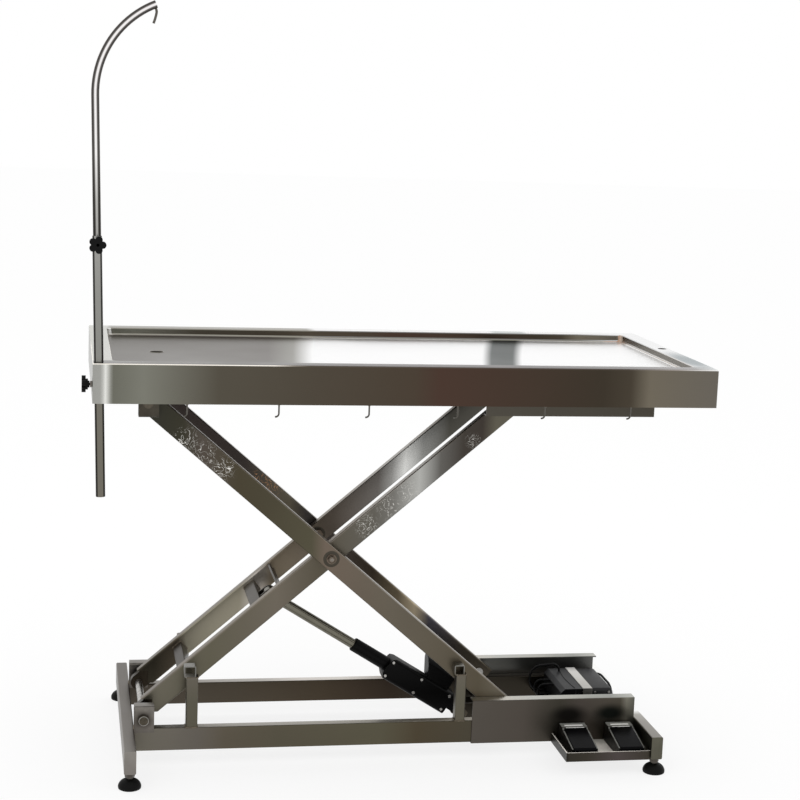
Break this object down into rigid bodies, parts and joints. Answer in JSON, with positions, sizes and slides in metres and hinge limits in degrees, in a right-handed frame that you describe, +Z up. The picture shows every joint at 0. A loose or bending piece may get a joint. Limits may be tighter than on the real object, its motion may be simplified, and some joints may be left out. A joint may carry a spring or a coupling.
{
  "type": "veterinary exam table",
  "caption": "Stainless steel animal examination table with a sunk drained tray on an electric scissor lift, foot pedals and a telescopic tie pole.",
  "frame": {"origin": "on the floor under the middle of the tray and base", "axes": "+X along the tray towards the pedal end, +Y away from the pedal side, +Z up"},
  "size_m": [1.321, 0.618, 1.5972],
  "materials": {
    "tray_steel": "polished stainless steel sheet",
    "frame_steel": "satin stainless steel tube",
    "arm_steel": "satin stainless steel tube",
    "channel_steel": "polished stainless steel sheet",
    "fastener_steel": "bright stainless steel",
    "pole_steel": "polished stainless steel tube",
    "roller_plastic": "turned nylon",
    "foot_plastic": "black moulded foot",
    "knob_plastic": "black moulded plastic",
    "box_plastic": "black textured plastic",
    "cover_grey": "grey gloss paint",
    "strap_steel": "bright strap",
    "cable_rubber": "black cable jacket",
    "pedal_grey": "light grey cast case",
    "treadle_black": "black ribbed plastic",
    "rod_steel": "ground steel rod",
    "actuator_black": "black paint"
  },
  "bodies": {
    "base": {"left_crossbar": "frame_steel", "right_crossbar": "frame_steel", "near_rail": "frame_steel", "far_rail": "frame_steel", "near_roller_channel": "channel_steel", "far_roller_channel": "channel_steel", "uprights": "frame_steel", "arm_rests": "frame_steel", "pivot_brackets": "frame_steel", "pivot_shaft": "fastener_steel", "frame_fasteners": "fastener_steel", "actuator_cross_tube": "frame_steel", "actuator_lugs": "frame_steel", "pedal_tray": "channel_steel", "control_case": "box_plastic", "control_cover": "cover_grey", "control_strap": "strap_steel", "box_shelf": "frame_steel", "control_cables": "cable_rubber", "pedal_cases": "pedal_grey"},
    "inner_arms": {"inner_near_arm": "arm_steel", "inner_far_arm": "arm_steel", "inner_arm_blocks": "arm_steel", "inner_cross_members": "arm_steel", "rod_lugs": "arm_steel", "upper_roller_axles": "fastener_steel"},
    "outer_arms": {"outer_near_arm": "arm_steel", "outer_far_arm": "arm_steel", "outer_arm_blocks": "arm_steel", "lower_roller_axles": "fastener_steel", "centre_bolts": "fastener_steel"},
    "tray": {"tray_top": "tray_steel", "drain_spout": "frame_steel", "tray_subframe": "frame_steel", "tray_channels": "channel_steel", "tray_brackets": "frame_steel", "tray_pivot_shaft": "fastener_steel", "tray_pivot_bolts": "fastener_steel", "tie_hooks": "fastener_steel", "pole_guide": "frame_steel"},
    "push_rod": {"push_rod": "rod_steel"},
    "actuator": {"actuator_sleeve": "actuator_black", "gear_housing": "actuator_black", "motor_housing": "actuator_black", "rear_eye": "actuator_black"},
    "lower_pole": {"lower_pole": "pole_steel"},
    "upper_pole": {"upper_pole": "pole_steel", "pole_hook": "pole_steel"},
    "tray_knob": {"tray_knob": "knob_plastic"},
    "pole_knob": {"pole_knob": "knob_plastic"},
    "left_treadle": {"left_treadle": "treadle_black"},
    "right_treadle": {"right_treadle": "treadle_black"},
    "left_near_foot": {"left_near_foot": "foot_plastic"},
    "left_far_foot": {"left_far_foot": "foot_plastic"},
    "right_near_foot": {"right_near_foot": "foot_plastic"},
    "right_far_foot": {"right_far_foot": "foot_plastic"},
    "lower_near_roller": {"lower_near_roller": "roller_plastic"},
    "lower_far_roller": {"lower_far_roller": "roller_plastic"},
    "upper_near_roller": {"upper_near_roller": "roller_plastic"},
    "upper_far_roller": {"upper_far_roller": "roller_plastic"}
  },
  "joints": [
    {"name": "lift", "type": "hinge", "parent": "base", "child": "inner_arms", "pos_m": [-0.5335, 0, 0.1043], "axis": [0, -1, 0], "range_deg": [-32.1, 4.3]},
    {"name": "scissor", "type": "hinge", "parent": "inner_arms", "child": "outer_arms", "pos_m": [-0.13662, 0, 0.44567], "axis": [0, -1, 0], "range_deg": [-8.7, 64.3]},
    {"name": "tray_level", "type": "hinge", "parent": "outer_arms", "child": "tray", "pos_m": [-0.5335, 0, 0.78705], "axis": [0, -1, 0], "range_deg": [-32.2, 4.4]},
    {"name": "push_rod_pivot", "type": "hinge", "parent": "inner_arms", "child": "push_rod", "pos_m": [-0.25164, 0, 0.33143], "axis": [0, -1, 0], "range_deg": [-6.5, 47.8]},
    {"name": "actuator_stroke", "type": "slide", "parent": "push_rod", "child": "actuator", "axis": [0.8503, 0, -0.5263], "range_m": [-0.1537, 0.0207]},
    {"name": "pole_swivel", "type": "hinge", "parent": "tray", "child": "lower_pole", "pos_m": [-0.6378, -0.278, 0.88935], "axis": [-0.0236, 0, 0.9997], "continuous": true},
    {"name": "pole_height", "type": "slide", "parent": "lower_pole", "child": "upper_pole", "axis": [-0.0236, 0, 0.9997], "range_m": [-0.26, 0.14]},
    {"name": "tray_knob_turn", "type": "hinge", "parent": "tray", "child": "tray_knob", "pos_m": [-0.65, -0.278, 0.84435], "axis": [-1, 0, 0], "continuous": true},
    {"name": "pole_knob_turn", "type": "hinge", "parent": "lower_pole", "child": "pole_knob", "pos_m": [-0.64331, -0.2875, 1.12328], "axis": [0, -1, 0], "continuous": true},
    {"name": "left_near_foot_level", "type": "slide", "parent": "base", "child": "left_near_foot", "axis": [0, 0, 1], "range_m": [-0.015, 0]},
    {"name": "left_far_foot_level", "type": "slide", "parent": "base", "child": "left_far_foot", "axis": [0, 0, 1], "range_m": [-0.015, 0]},
    {"name": "right_near_foot_level", "type": "slide", "parent": "base", "child": "right_near_foot", "axis": [0, 0, 1], "range_m": [-0.015, 0]},
    {"name": "right_far_foot_level", "type": "slide", "parent": "base", "child": "right_far_foot", "axis": [0, 0, 1], "range_m": [-0.015, 0]},
    {"name": "lower_near_roller_spin", "type": "hinge", "parent": "outer_arms", "child": "lower_near_roller", "pos_m": [0.26027, -0.1505, 0.1043], "axis": [0, -1, 0], "continuous": true},
    {"name": "lower_far_roller_spin", "type": "hinge", "parent": "outer_arms", "child": "lower_far_roller", "pos_m": [0.26027, 0.1505, 0.1043], "axis": [0, -1, 0], "continuous": true},
    {"name": "upper_near_roller_spin", "type": "hinge", "parent": "inner_arms", "child": "upper_near_roller", "pos_m": [0.26027, -0.12075, 0.78705], "axis": [0, -1, 0], "continuous": true},
    {"name": "upper_far_roller_spin", "type": "hinge", "parent": "inner_arms", "child": "upper_far_roller", "pos_m": [0.26027, 0.12075, 0.78705], "axis": [0, -1, 0], "continuous": true},
    {"name": "left_treadle_press", "type": "hinge", "parent": "base", "child": "left_treadle", "pos_m": [0.409, -0.205, 0.068], "axis": [1, 0, 0], "range_deg": [0, 5], "stiffness_Nm_per_rad": 5, "springref_deg": -5.73},
    {"name": "right_treadle_press", "type": "hinge", "parent": "base", "child": "right_treadle", "pos_m": [0.514, -0.205, 0.068], "axis": [1, 0, 0], "range_deg": [0, 5], "stiffness_Nm_per_rad": 5, "springref_deg": -5.73}
  ],
  "couplings": [
    {"joint": "scissor", "follows": "lift", "ratio": -2},
    {"joint": "tray_level", "follows": "lift", "ratio": 1},
    {"joint": "push_rod_pivot", "follows": "lift", "ratio": -1.4853},
    {"joint": "actuator_stroke", "follows": "lift", "m_per_rad": 0.27418}
  ]
}
